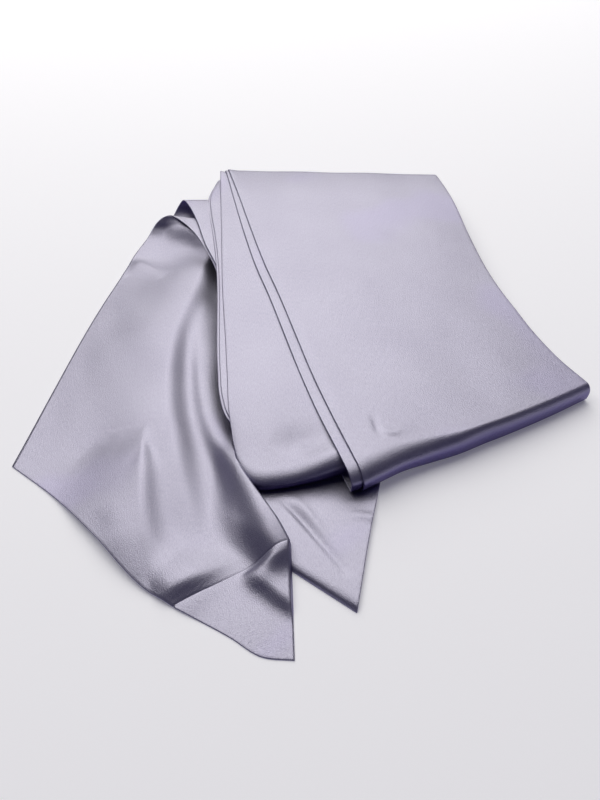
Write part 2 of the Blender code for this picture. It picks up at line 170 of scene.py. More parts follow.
DAYLIGHT = (1.0, 0.985, 0.87)
STOLE_PLACE = (0.0, 0.0, 0.0)
SHADE_COLOUR, SHADE_STRENGTH = (0.42, 0.36, 0.9, 1.0), 0.10

softbox("key", place=(-0.3, 1.37, 2.41), target=STOLE_PLACE, size=(4.75, 2.75), power=97.0,
        colour=DAYLIGHT)
softbox("low", place=(-0.25, 2.2, 1.05), target=STOLE_PLACE, size=(2.0, 0.8), power=12.0,
        colour=DAYLIGHT)
world = bpy.data.worlds.new("studio")
world.use_nodes = True
world.node_tree.nodes["Background"].inputs["Color"].default_value = SHADE_COLOUR
world.node_tree.nodes["Background"].inputs["Strength"].default_value = SHADE_STRENGTH
bpy.context.scene.world = world
bpy.context.scene.view_settings.view_transform = "Standard"


# The right tail.  One end of the strip, flat on the table under the left one: plain woven
# satin with a narrow turned edge, and one soft crease where the stole was folded before.
CLOTH = 0.7                 # how thick the satin is drawn
CREASE_STEPS = 160          # points read from the path of a crease


def smooth(table, count):
    """Read count rows from a smooth curve through the table, at even steps along it.

    Between two rows it is a cubic, a weight (1 + 2f)(1 - f)^2 of the first and the
    mirrored one of the second, with the slopes of the table at both.
    """
    rows = np.array(table, dtype=float)
    steps = np.linalg.norm(np.diff(rows[:, :2], axis=0), axis=1)
    knots = np.concatenate(([0.0], np.cumsum(steps)))
    slopes = np.gradient(rows, knots, axis=0)
    at = np.linspace(0.0, knots[-1], count)
    k = np.clip(np.searchsorted(knots, at, side="right") - 1, 0, len(rows) - 2)
    span = knots[k + 1] - knots[k]
    f = ((at - knots[k]) / span)[:, None]
    span = span[:, None]
    return ((1 + 2 * f) * (1 - f) ** 2 * rows[k] + f * (1 - f) ** 2 * span * slopes[k]
            + f * f * (3 - 2 * f) * rows[k + 1] + f * f * (f - 1) * span * slopes[k + 1])


def ramp(value, low, high):
    """Smooth step from 0 at low to 1 at high: 3f^2 - 2f^3."""
    f = np.clip((value - low) / (high - low), 0.0, 1.0)
    return f * f * (3.0 - 2.0 * f)


def between(rows, t):
    """Plan points left + (right - left) t, one row of them for each section."""
    left, right = rows[:, None, 0:2], rows[:, None, 2:4]
    return left + (right - left) * t[..., None]


def unit(vectors):
    """Vectors divided by their length."""
    return vectors / np.maximum(np.linalg.norm(vectors, axis=-1), 1e-9)[..., None]


# A point of a crease: its place, the height there, and the widths of both flanks.  On a path
# that runs towards the viewer left and right are those of the picture.  On one that runs to
# the right, left is its front flank and right its back one.
Crease = namedtuple("Crease", "x y height left right")


def creases(x, y, paths):
    """Height of soft ridges and troughs over plan points.

    Each runs along a smooth path.  Its height is height * exp(-(d / width)^2), where d is
    the distance from the path, and width that of the flank.  They are added up.
    """
    total = np.zeros_like(x)
    flat_x, flat_y = x.reshape(-1), y.reshape(-1)
    for path in paths:
        rows = smooth(path, CREASE_STEPS)
        run = unit(np.gradient(rows[:, 0:2], axis=0))
        step = np.linalg.norm(rows[1, 0:2] - rows[0, 0:2])
        away_x = flat_x[:, None] - rows[:, 0]
        away_y = flat_y[:, None] - rows[:, 1]
        near = (away_x ** 2 + away_y ** 2).argmin(axis=1)
        off_x = flat_x - rows[near, 0]
        off_y = flat_y - rows[near, 1]
        ahead = off_x * run[near, 0] + off_y * run[near, 1]
        side = off_x * run[near, 1] - off_y * run[near, 0]
        at = near + ahead / step
        beyond = np.maximum(0.0, np.maximum(-at, at - (len(rows) - 1))) * step
        height, left, right = [np.interp(at, np.arange(len(rows)), rows[:, k]) for k in (2, 3, 4)]
        share = np.hypot(side, beyond) / np.where(side < 0.0, right, left)
        total += (height * np.exp(-share ** 2)).reshape(x.shape)
    return total


def ripple(x, y, size, height, turn):
    """Faint unevenness of lying cloth: three crossing sines, size apart and height high."""
    a = x * math.cos(turn) + y * math.sin(turn)
    b = -x * math.sin(turn) + y * math.cos(turn)
    k = 2 * math.pi / size
    return height / 3 * (np.sin(k * a + 1.3 * np.sin(0.37 * k * b + turn))
                         + np.sin(0.61 * k * b + 2.0 + 1.1 * np.sin(0.29 * k * a))
                         + np.sin(0.83 * k * (a - 0.6 * b) + 4.0 * turn))


SIDES = {"front": 1.0, "back": -1.0, "left": 1.0, "right": -1.0}    # sign of the normal there
EDGE_STEPS = 3


def facing(grid, side):
    """The grid seen with the named side as its last row."""
    if side in ("left", "right"):
        grid = np.swapaxes(grid, 0, 1)
    return grid[::-1] if side in ("left", "back") else grid


def turned_edge(grid, side, radius, turn):
    """Roll one edge of the cloth under, round the angle turn of a circle.

    Past the last row come points edge + outwards * r sin a - normal * r (1 - cos a).
    """
    work = facing(grid, side)
    out = unit(work[-1] - work[-2])
    normal = unit(np.cross(out, np.gradient(work[-1], axis=0))) * SIDES[side]
    rows = [work]
    for angle in np.linspace(0.0, turn, EDGE_STEPS + 1)[1:]:
        point = work[-1] + out * radius * math.sin(angle) - normal * radius * (1 - math.cos(angle))
        rows.append(point[None])
    work = np.concatenate(rows)
    if side in ("left", "back"):
        work = work[::-1]
    return np.swapaxes(work, 0, 1) if side in ("left", "right") else work


DARK_THREAD, LIGHT_THREAD = (0.205, 0.196, 0.282, 1.0), (0.425, 0.415, 0.525, 1.0)
VIOLET_CLOUD = (0.33, 0.30, 0.50, 1.0)
# Painted shade: the deep violet that the satin's colour is mixed towards where the cloth faces down.
PAINTED_SHADE_VIOLET = (0.075, 0.05, 0.24, 1.0)
THREAD_STRETCH = (1700.0, 330.0, 1.0)       # cells of noise a metre, across the cloth and along it
SATIN_ROUGHNESS = 0.285


def satin(name):
    """Lavender grey satin: floats of thread along the cloth, a soft metallic sheen.

    The thread and the clouds follow the cloth's own map, which is in metres.  The thread is a
    noise drawn out along the cloth, slow clouds change the tone and the hue a little, and where
    the cloth faces down, under and inside its folds, painted shade turns it deep violet.
    """
    finish = Finish(name)
    cloth_map = finish.node("ShaderNodeTexCoord", {}, {}, "UV")
    threads = finish.node("ShaderNodeMapping", {}, {"Vector": cloth_map, "Scale": THREAD_STRETCH})
    floats = finish.node("ShaderNodeTexNoise", {"noise_dimensions": "2D"},
                         {"Vector": threads, "Scale": 1.0, "Detail": 2.0, "Roughness": 0.6})
    specks = finish.node("ShaderNodeTexNoise", {"noise_dimensions": "2D"},
                         {"Vector": cloth_map, "Scale": 1500.0, "Detail": 1.0})
    clouds = finish.node("ShaderNodeTexNoise", {"noise_dimensions": "2D"},
                         {"Vector": cloth_map, "Scale": 22.0, "Detail": 1.0, "Roughness": 0.4})
    stains = finish.node("ShaderNodeTexNoise", {"noise_dimensions": "2D"},
                         {"Vector": cloth_map, "Scale": 13.0, "Detail": 1.0, "Roughness": 0.3})
    tone = floats * 0.55 + specks * 0.45 + clouds * 0.2 - 0.1
    colour = finish.node("ShaderNodeMix", {"data_type": "RGBA"},
                         {"Factor": tone, 6: DARK_THREAD, 7: LIGHT_THREAD}, 2)
    violet = finish.node("ShaderNodeMapRange", {"interpolation_type": "SMOOTHSTEP"},
                         {"Value": stains, "From Min": 0.55, "From Max": 0.75, "To Max": 0.25})
    colour = finish.node("ShaderNodeMix", {"data_type": "RGBA"},
                         {"Factor": violet, 6: colour, 7: VIOLET_CLOUD}, 2)
    # Painted shade: the more the cloth faces down, under and inside its folds, the more its colour is
    # mixed towards deep violet.
    facing_out = finish.node("ShaderNodeTexCoord", {}, {}, "Normal")
    upward = finish.node("ShaderNodeSeparateXYZ", {}, {"Vector": facing_out}, "Z")
    painted_shade = finish.node("ShaderNodeMapRange", {"interpolation_type": "SMOOTHSTEP"},
                         {"Value": upward, "From Min": 0.85, "From Max": -0.15, "To Max": 0.85})
    colour = finish.node("ShaderNodeMix", {"data_type": "RGBA"},
                         {"Factor": painted_shade, 6: colour, 7: PAINTED_SHADE_VIOLET}, 2)
    finish.feed(finish.shader.inputs["Base Color"], colour)
    finish.feed(finish.shader.inputs["Roughness"], specks * 0.1 + clouds * 0.05 + SATIN_ROUGHNESS)
    bump = finish.node("ShaderNodeBump", {}, {"Strength": 0.7, "Distance": 0.0004,
                                              "Height": floats * 0.5 + specks * 0.5})
    finish.feed(finish.shader.inputs["Normal"], bump)
    finish.shader.inputs["Metallic"].default_value = 0.82
    finish.shader.inputs["Specular IOR Level"].default_value = 0.4
    return finish.data


DARK_FLECK, LIGHT_FLECK = (0.30, 0.29, 0.42, 1.0), (0.56, 0.55, 0.68, 1.0)


def cut_edge():
    """The satin's turned edge seen end on: the same lavender, matt, flecked by its threads."""
    finish = Finish("turned_edge")
    place = finish.node("ShaderNodeTexCoord", {}, {}, "Object")
    threads = finish.node("ShaderNodeTexNoise", {}, {"Vector": place, "Scale": 1600.0, "Detail": 1.0})
    colour = finish.node("ShaderNodeMix", {"data_type": "RGBA"},
                         {"Factor": threads, 6: DARK_FLECK, 7: LIGHT_FLECK}, 2)
    finish.feed(finish.shader.inputs["Base Color"], colour)
    finish.feed(finish.shader.inputs["Roughness"], threads * 0.1 + 0.6)
    return finish.data


EDGE = cut_edge()


def sheet_of_satin(name, grid, material, nodes):
    """A sheet of cloth whose middle surface is the grid, in the tables' millimetres.

    Its map runs in metres: across the cloth from column to column, and along it from row
    to row.  Solidify gives it its thickness, and its rim has the turned edge's material.
    """
    rows, columns = grid.shape[:2]
    points = (grid.reshape(-1, 3) - MIDDLE) * MM
    at = np.arange(rows * columns).reshape(rows, columns)
    quads = np.stack([at[:-1, :-1], at[1:, :-1], at[1:, 1:], at[:-1, 1:]], axis=-1).reshape(-1, 4)
    mesh = bpy.data.meshes.new(name)
    mesh.from_pydata(points.tolist(), [], quads.tolist())
    mesh.polygons.foreach_set("use_smooth", np.ones(len(quads), dtype=bool))
    across = np.zeros((rows, columns))
    across[:, 1:] = np.cumsum(np.linalg.norm(np.diff(grid, axis=1), axis=2), axis=1)
    along_it = np.zeros((rows, columns))
    along_it[1:] = np.cumsum(np.linalg.norm(np.diff(grid, axis=0), axis=2), axis=0)
    cloth_map = np.stack([across, along_it], axis=-1).reshape(-1, 2) * MM
    layer = mesh.uv_layers.new(name="cloth")
    layer.data.foreach_set("uv", cloth_map[quads.reshape(-1)].reshape(-1).astype(np.float32))
    mesh.materials.append(material)
    mesh.materials.append(EDGE)
    mesh.update()
    piece = bpy.data.objects.new(name, mesh)
    bpy.context.scene.collection.objects.link(piece)
    wall = piece.modifiers.new("thickness", "SOLIDIFY")
    wall.thickness = CLOTH * MM
    wall.offset = 0.0
    wall.use_even_offset = False
    wall.material_offset_rim = 1
    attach(piece, "root")
    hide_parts(*nodes)


Row = namedtuple("Row", "left_x left_y right_x right_y")
RIGHT_TAIL_ROWS = (
    Row(-44, -73, 58.5, -62),
    Row(-43, -84, 54, -82),
    Row(-38, -104, 45.8, -116),
    Row(-26, -130, 34, -172),
)
RIGHT_TAIL_CREASES = (
    (Crease(-14, -92, 0.0, 2.5, 5), Crease(-4, -103, -1.6, 2.4, 5), Crease(12, -124, -1.5, 2.6, 6),
     Crease(27, -144, -0.8, 3, 6), Crease(32, -151, 0.0, 3, 6)),
    (Crease(-6, -88, 0.0, 6, 3), Crease(4, -102, 1.0, 6, 3), Crease(18, -124, 0.9, 7, 3),
     Crease(31, -146, 0.0, 7, 3)),
    (Crease(28, -104, 0.0, 3, 3), Crease(40, -106, 0.7, 3.5, 3.5), Crease(52, -108, 0.9, 3, 3)),
)
RIGHT_TAIL_GRID = (72, 64)  # rows and columns
END_ROLL = 7.5              # over which the tail's end rolls down to the table
LOFT = 2.8                  # how high the loose cloth stands behind that
LOFT_START, LOFT_FULL = 72.0, 98.0      # how far in front the loft starts and is full
RIGHT_TAIL_RIPPLE = (38.0, 0.25, 0.5)   # size, height and turn
THIN_EDGE, THIN_TURN = 0.2, 1.6


def right_tail():
    """Straight sections between both edges, lifted a little and rolled down at the end."""
    rows = smooth(RIGHT_TAIL_ROWS, RIGHT_TAIL_GRID[0])
    t = np.linspace(0.0, 1.0, RIGHT_TAIL_GRID[1])
    plan = between(rows, np.repeat(t[None], len(rows), axis=0))
    x, y = plan[..., 0], plan[..., 1]
    to_end = np.cumsum(np.linalg.norm(np.diff(plan[::-1], axis=0), axis=2), axis=0)[::-1]
    to_end = np.concatenate([to_end, np.zeros((1, len(t)))])
    roll = np.sqrt(1.0 - np.clip(1.0 - to_end / END_ROLL, 0.0, 1.0) ** 2)
    loft = LOFT * roll * ramp(-y, LOFT_START, LOFT_FULL)
    z = CLOTH / 2 + loft + creases(x, y, RIGHT_TAIL_CREASES) * roll + ripple(x, y, *RIGHT_TAIL_RIPPLE)
    grid = np.stack([x, y, np.maximum(z, CLOTH / 2)], axis=-1)
    for side in ("left", "right", "front"):
        grid = turned_edge(grid, side, THIN_EDGE, THIN_TURN)
    sheet_of_satin("right_tail_cloth", grid, satin("right_tail_satin"), ["right_tail"])


right_tail()


# The left tail.  The other end of the strip, lying loosely in long soft folds: one leaf of
# satin that comes off the stack in a loop, with a bias edge and a rolled right border.
LinePoint = namedtuple("LinePoint", "x y")
TAIL_LEFT_EDGE = (
    LinePoint(-203, -63),
    LinePoint(-190, 9),
    LinePoint(-176, 84),
    LinePoint(-162, 150),
)
TAIL_BORDER = (
    LinePoint(-6, -128),
    LinePoint(-13, -115),
    LinePoint(-21, -103),
    LinePoint(-31.5, -87),
    LinePoint(-40, -72),
    LinePoint(-49.5, -42),
    LinePoint(-48, -15),
    LinePoint(-42, 20),
    LinePoint(-40, 70),
    LinePoint(-40, 150),
)
TAIL_END = (
    LinePoint(-203, -63),
    LinePoint(-166, -90.5),
    LinePoint(-136.5, -118),
    LinePoint(-93, -159),
    LinePoint(-77, -168.5),
)
SEAM = (
    LinePoint(-77, -168.5),
    LinePoint(-43, -149),
    LinePoint(-6, -128),
)
BORDER_FALL = 0.992         # share of the width where the border turns down to the table
TAIL_GRIP = 1.6             # power by which the bend to the slanted end dies out behind it
TAIL_ROWS, LOOP_ROWS = 170, 140
END_COLUMNS, SEAM_COLUMNS = 68, 45
TAIL_RIPPLE = (46.0, 0.5, 1.1)          # size, height and turn
TAIL_EDGE, TAIL_TURN = 0.25, 1.6
LoopRow = namedtuple("LoopRow", "left_x left_y left_z right_y right_z")
INNER_LOOP = (
    LoopRow(-162, 150, 0.35, 150, 0.35),
    LoopRow(-159, 164, 0.5, 163, 0.45),
    LoopRow(-155, 180, 2.0, 178, 1.3),
    LoopRow(-146, 199, 6, 196, 3),
    LoopRow(-141, 209, 11, 208, 6.5),
    LoopRow(-136, 214, 16, 213, 10.5),
    LoopRow(-130, 217, 19.5, 212, 13.5),
    LoopRow(-122, 217, 21, 206, 14.6),
    LoopRow(-109, 206, 20, 195, 14.9),
    LoopRow(-96, 189, 18.5, 180, 15),
    LoopRow(-84, 164, 17.5, 160, 15),
    LoopRow(-74, 139, 16.6, 140, 15),
    LoopRow(-68, 112, 15.8, 112, 15),
)
LOOP_RIGHT = -40.0          # x of the right end of every row of a loop
TUCK = 9.0                  # how far the border is tucked under the stack beside it
TUCK_TOP = 6.0              # highest that the tucked border lies
TUCK_FRONT = (-82.0, -62.0)             # y where the border leaves the table for the tuck
TUCK_SHIFT_FRONT = (-82.0, -66.0)       # y where it starts to shift under the stack
TUCK_BACK = (-10.0, 40.0)               # y where the tuck ends
LINE_STEPS = 300            # points read from a line
LOOP_FADE = 82              # rows of the loop over which the tail's folds die out
TAIL_FOLDS = (
    (Crease(-84, 182, 3, 26, 9), Crease(-88, 160, 7, 34, 11), Crease(-95, 118, 10, 52, 14),
     Crease(-103, 76, 11.5, 60, 15.5), Crease(-105, 28, 12, 60, 15.5), Crease(-100, -14, 11.5, 54, 15.5),
     Crease(-93.5, -38, 10, 42, 14.5), Crease(-88, -60, 8.6, 34, 13.5), Crease(-81.5, -82, 6, 26, 12),
     Crease(-74, -107, 3.0, 20, 10), Crease(-69, -130, 0, 18, 8)),
    (Crease(-77, 118, 0, 8, 10), Crease(-80.5, 98, 1.8, 8, 12), Crease(-81.5, 70, 4, 8, 14),
     Crease(-77.5, 25, 5.6, 8, 16), Crease(-73, -2, 5.8, 8, 16), Crease(-68, -22, 6, 8.5, 17),
     Crease(-60, -41, 6.5, 8.5, 19), Crease(-50, -60, 8.5, 9, 22), Crease(-40, -76, 10.5, 11, 26),
     Crease(-32, -91, 12, 13, 28), Crease(-25.5, -105, 12.5, 14, 28), Crease(-19.5, -118, 11.5, 14, 26),
     Crease(-15, -132, 9, 13, 22), Crease(-12, -140, 7, 12, 20)),
    (Crease(-113, -34, 0, 24, 5), Crease(-112, -55, 4.6, 30, 6), Crease(-110.5, -70, 7.4, 38, 9),
     Crease(-108, -94, 10, 44, 12), Crease(-102, -120, 8.8, 42, 13), Crease(-96, -140, 5, 32, 12),
     Crease(-91, -152, 2, 20, 10), Crease(-88, -160, 0, 14, 8)),
    (Crease(-90, -162, 1, 7, 10), Crease(-80, -157.5, 5.5, 8.5, 18), Crease(-69, -151, 6.5, 9, 24),
     Crease(-58, -145, 3.8, 8.5, 22), Crease(-48, -139.5, 1.2, 8, 16), Crease(-40, -135, 0, 7, 12)),
    (Crease(-157, 170, 0, 8, 6), Crease(-150, 167, 2.2, 9, 7), Crease(-141, 161, 2.4, 10, 8),
     Crease(-130, 151, 1, 9, 9), Crease(-122, 143, 0, 8, 8)),
    (Crease(-152, -50, 0, 14, 16), Crease(-138, -58, 1.3, 14, 18), Crease(-126, -62, 0.9, 13, 16),
     Crease(-116, -66, 0, 12, 14)),
    (Crease(-140, -102, 0, 13, 10), Crease(-132, -114, -1.0, 14, 10), Crease(-124, -128, 0, 13, 10)),
    (Crease(-129, 213, 0, 11, 9), Crease(-119, 212, 10, 12, 9), Crease(-102, 208, 18, 13, 9),
     Crease(-88, 194, 14, 12, 9), Crease(-79, 179, 8, 11, 8), Crease(-73, 162, 0, 9, 7)),
)


def along(table, t):
    """Points at the fractions t of the length of a smooth curve through the table."""
    rows = smooth(table, LINE_STEPS)
    steps = np.linalg.norm(np.diff(rows[:, :2], axis=0), axis=1)
    knots = np.concatenate(([0.0], np.cumsum(steps))) / steps.sum()
    return np.stack([np.interp(t, knots, column) for column in rows.T], axis=-1)


def path_length(table):
    """Sum of the distances from point to point."""
    points = np.array(table, dtype=float)[:, 0:2]
    return np.linalg.norm(np.diff(points, axis=0), axis=1).sum()


def smooth_loop(table, count):
    """Read count rows from a smooth curve through a loop's rows, evenly from row to row."""
    rows = np.array(table, dtype=float)
    at = np.linspace(0.0, len(rows) - 1.0, count)
    slopes = np.gradient(rows, axis=0)
    k = np.clip(at.astype(int), 0, len(rows) - 2)
    f = (at - k)[:, None]
    return ((1 + 2 * f) * (1 - f) ** 2 * rows[k] + f * (1 - f) ** 2 * slopes[k]
            + f * f * (3 - 2 * f) * rows[k + 1] + f * f * (f - 1) * slopes[k + 1])


def loop_grid(table, count, t):
    """Straight sections left + (right - left) t of each row of a loop."""
    rows = smooth_loop(table, count)
    left = rows[:, None, 0:3]
    right = np.column_stack([np.full(count, LOOP_RIGHT), rows[:, 3:5]])[:, None]
    return left + (right - left) * t[None, :, None]


OVER_RIGHT_TAIL = 3.6       # how much higher the cloth lies where the right tail is under it
TAIL_SIDE = (-12.0, 8.0)    # over which it rises, across the right tail's end edge
TAIL_LEFT = (-62.0, -42.0)  # and in x, at its left side
TAIL_BACK = (-60.0, -35.0)  # over which it sinks again, in y, where the stack takes over


def table_height(x, y):
    """Middle of cloth on the table: half its thickness, and more over the right tail.

    The rise is a product of smooth steps: of the distance inside the tail's end edge, of
    x and of y.
    """
    first, last = RIGHT_TAIL_ROWS[-1][0:2], RIGHT_TAIL_ROWS[-1][2:4]
    run = np.array(last, dtype=float) - first
    run /= np.linalg.norm(run)
    inside = (x - first[0]) * -run[1] + (y - first[1]) * run[0]
    over_tail = ramp(inside, *TAIL_SIDE) * ramp(x, *TAIL_LEFT) * (1.0 - ramp(y, *TAIL_BACK))
    return CLOTH / 2 + OVER_RIGHT_TAIL * over_tail


def border_fall(t):
    """Share of the height left near the border: a quarter circle down from its crest."""
    return np.sqrt(1.0 - np.clip((t - BORDER_FALL) / (1.0 - BORDER_FALL), 0.0, 1.0) ** 2)


def left_tail():
    """Sections from the left edge to the border, bent on to the slanted end, then the loop."""
    corner = path_length(TAIL_END) / (path_length(TAIL_END) + path_length(SEAM))
    on_end = np.linspace(0.0, 1.0, END_COLUMNS)
    on_seam = np.linspace(0.0, 1.0, SEAM_COLUMNS + 1)[1:]
    on_seam = 0.5 * np.sin(0.5 * math.pi * on_seam) + 0.5 * on_seam
    t = np.concatenate([on_end * corner, corner + (1.0 - corner) * on_seam])
    front = np.concatenate([along(TAIL_END, on_end), along(SEAM, on_seam)])
    left = smooth(TAIL_LEFT_EDGE, TAIL_ROWS)
    border = smooth(TAIL_BORDER, TAIL_ROWS)
    sections = np.concatenate([left, border], axis=1)
    straight = between(sections[:1], t[None])[0]
    weight = (1.0 - np.linspace(0.0, 1.0, TAIL_ROWS)) ** TAIL_GRIP
    plan = between(sections, np.repeat(t[None], TAIL_ROWS, axis=0))
    plan = plan + weight[:, None, None] * (front - straight)[None]
    x, y = plan[..., 0], plan[..., 1]
    folds = creases(x, y, TAIL_FOLDS) + ripple(x, y, *TAIL_RIPPLE) * ramp(t[None], 0.02, 0.2)
    tuck = ramp(y, *TUCK_FRONT) * (1.0 - ramp(y, *TUCK_BACK))
    z = table_height(x, y) + folds * (border_fall(t[None]) * (1.0 - tuck) + tuck)
    lying = np.stack([x, y, np.maximum(z, CLOTH / 2)], axis=-1)
    loop = loop_grid(INNER_LOOP, LOOP_ROWS, t)
    lift = creases(loop[..., 0], loop[..., 1], TAIL_FOLDS)
    lift = lift + np.maximum(0.0, ripple(loop[..., 0], loop[..., 1], *TAIL_RIPPLE))
    fade = 0.5 + 0.5 * np.cos(np.linspace(0.0, math.pi, LOOP_FADE))
    loop[:LOOP_FADE, :, 2] += lift[:LOOP_FADE] * fade[:, None]
    grid = np.concatenate([lying[:-1], loop])[::-1]
    tucked = grid[:, -1:].copy()
    border_y = tucked[..., 1]
    tucked[..., 0] += TUCK * ramp(border_y, *TUCK_SHIFT_FRONT) * (1.0 - ramp(border_y, *TUCK_BACK))
    tucked[..., 2] = np.minimum(tucked[..., 2], TUCK_TOP)
    grid = np.concatenate([grid, tucked], axis=1)
    grid = turned_edge(grid, "front", TAIL_EDGE, TAIL_TURN)
    sheet_of_satin("left_tail_cloth", grid, satin("left_tail_satin"), ["left_tail"])


left_tail()


# The corner of the left tail.  A triangle of the same satin pieced on beyond a seam, as the
# weaver's width wasn't enough for the slanted end; the seam puckers it a little.
CORNER_END = (
    LinePoint(-77, -168.5),
    LinePoint(-41, -187.5),
    LinePoint(-22, -199),
    LinePoint(-3, -201),
)
CORNER_START = 0.01         # share of the seam where the corner starts
CORNER_GRID = (52, 56)      # rows and columns
GAP = 0.3                   # space between the pieces at the seam
FOLDS_REACH = 12.5          # how far beyond the seam the tail's folds go on
PUCKER_START = 6.0          # distance over which the corner's own ridge rises
CORNER_CREASES = (
    (Crease(-34, -143, 0, 7, 8), Crease(-28, -148.5, 3.6, 7, 13), Crease(-20, -154, 5.0, 7, 16),
     Crease(-12, -160.5, 5.0, 7, 16), Crease(-4, -167.5, 3.8, 6, 14), Crease(2, -173, 2.2, 5.5, 12)),
)


def tail_corner():
    """Straight lines from the seam to the end.

    The tail's folds go on beyond the seam and die out as exp(-(d / reach)^2), where d is
    the distance from it.
    """
    t = np.linspace(CORNER_START, 1.0, CORNER_GRID[1])
    seam = along(SEAM, t)
    folds = creases(seam[:, 0], seam[:, 1], TAIL_FOLDS)
    end = along(CORNER_END, t)
    seam = seam + unit(end - seam) * GAP
    across = np.linspace(0.0, 1.0, CORNER_GRID[0])[:, None, None]
    plan = seam[None] + (end - seam)[None] * across
    x, y = plan[..., 0], plan[..., 1]
    from_seam = np.linalg.norm(plan - seam[None], axis=2)
    start = folds[None] * np.exp(-(from_seam / FOLDS_REACH) ** 2)
    own = creases(x, y, CORNER_CREASES) * ramp(from_seam, 0.0, PUCKER_START)
    z = table_height(x, y) + (start + own) * border_fall(t[None])
    grid = np.stack([x, y, np.maximum(z, CLOTH / 2)], axis=-1)
    grid = turned_edge(grid, "back", TAIL_EDGE, TAIL_TURN)
    grid = turned_edge(grid, "front", TAIL_EDGE, TAIL_TURN)
    sheet_of_satin("tail_corner_cloth", grid, satin("tail_corner_satin"), ["tail_corner"])


tail_corner()


# The outer back loop.  The second leaf of the strip follows the first round behind the left
# tail, a little wider, so that a band of it shows.
OUTER_LOOP = (
    LoopRow(-128, 226, 3, 244, 2),
    LoopRow(-123, 238, 9, 253, 6),
    LoopRow(-118, 243.5, 16, 256, 11),
    LoopRow(-113, 243, 21.5, 253, 15.5),
    LoopRow(-106, 231.5, 22.2, 242, 16.8),
    LoopRow(-97, 209.5, 21.3, 219, 17.2),
    LoopRow(-86.5, 176, 19.8, 187, 17.4),
    LoopRow(-78, 155, 19.1, 162, 17.3),
    LoopRow(-71, 137, 18.8, 141, 17.3),
    LoopRow(-65, 118, 18.4, 120, 17.3),
)
OUTER_LOOP_GRID = (90, 36)  # rows and columns
SOFT_EDGE, SOFT_TURN = 0.4, 2.0


def outer_back_loop():
    """Straight sections from the loop's free edge into the stack."""
    grid = loop_grid(OUTER_LOOP, OUTER_LOOP_GRID[0], np.linspace(0.0, 1.0, OUTER_LOOP_GRID[1]))
    grid = turned_edge(grid, "left", SOFT_EDGE, SOFT_TURN)
    sheet_of_satin("outer_back_loop_cloth", grid, satin("outer_loop_satin"),
                   ["outer_back_loop"])


outer_back_loop()


# The layers inside the stack.  Four more stretches of the doubled strip, folded back and
# forth, which only show from the sides and from behind.
STACK_HEIGHT = 24.0         # at the stack's front left corner, but for the sag
STACK_RISE = 4.0            # how much higher it is at the back
STACK_DROOP = 11.0          # how much lower at its right front corner
DROOP_FADE = 0.55           # share of the droop that is gone at the back
STACK_SAG = 6.0
SAG_FRONT = (-10.0, 86.0)   # how far in front the sag starts and is full
SAG_RIGHT = (-8.0, 28.0)    # x over which it ends
STACK_LEFT, STACK_WIDTH = -85.0, 310.0
STACK_FRONT, STACK_LENGTH = -85.0, 375.0
HIDDEN_LEFT = -38.0
HIDDEN_DEPTH = 4.5          # how far below the stack's top the hidden layers end
HIDDEN_ROWS = (
    Row(HIDDEN_LEFT, 266, 126, 264),
    Row(HIDDEN_LEFT, 220, 134, 226),
    Row(HIDDEN_LEFT, 150, 143, 183),
    Row(HIDDEN_LEFT, 80, 151, 135),
    Row(HIDDEN_LEFT, 20, 159, 100),
    Row(HIDDEN_LEFT, -25, 170, 70),
    Row(HIDDEN_LEFT, -57, 184, 24),
)
HIDDEN_FRONT_LINE = (
    LinePoint(HIDDEN_LEFT, -57),
    LinePoint(-28, -66),
    LinePoint(0, -59.5),
    LinePoint(32, -51),
    LinePoint(100, -27),
    LinePoint(150, -5),
    LinePoint(184, 24),
)
HIDDEN_INSETS = (0.0, 1.6, 0.4, 2.2)    # how much narrower each stretch is at the right
HIDDEN_GRID = (40, 20)      # rows and columns of one stretch
LEAF_RADIUS = 0.9           # half the distance between a stretch's two leaves
LEAF_BULGE = 1.6            # the lengthwise fold reaches this many radii to the right
FOLD_BULGE = 2.4            # how far the half circles between stretches reach
LINE_GRIP = 6               # power by which the bend on to an end line dies out


def stack_top(x, y):
    """Height of the stack: it rises evenly to the back, droops to the right, as the square
    of the share across it, and sags at the front left corner by a product of smooth steps."""
    across = (x - STACK_LEFT) / STACK_WIDTH
    back = (y - STACK_FRONT) / STACK_LENGTH
    sag = STACK_SAG * ramp(-y, *SAG_FRONT) * (1.0 - ramp(x, *SAG_RIGHT))
    droop = STACK_DROOP * across ** 2 * (1.0 - DROOP_FADE * back)
    return STACK_HEIGHT + STACK_RISE * back - droop - sag


def follow_line(plan, line, t, grip):
    """Bend a plan's last rows on to a line; the bend fades to the first as a power grip."""
    inside = np.clip(t, 0.0, 1.0)
    ends = np.array([[line[0].x, line[0].y, line[-1].x, line[-1].y]], dtype=float)
    bend = along(line, inside) - between(ends, inside[None, :])[0]
    weight = np.linspace(0.0, 1.0, len(plan)) ** grip
    return plan + weight[:, None, None] * bend[None]


def side_normals(grid):
    """Unit normals: the cross product of the steps forward and to the right."""
    return unit(np.cross(np.gradient(grid, axis=0), np.gradient(grid, axis=1)))


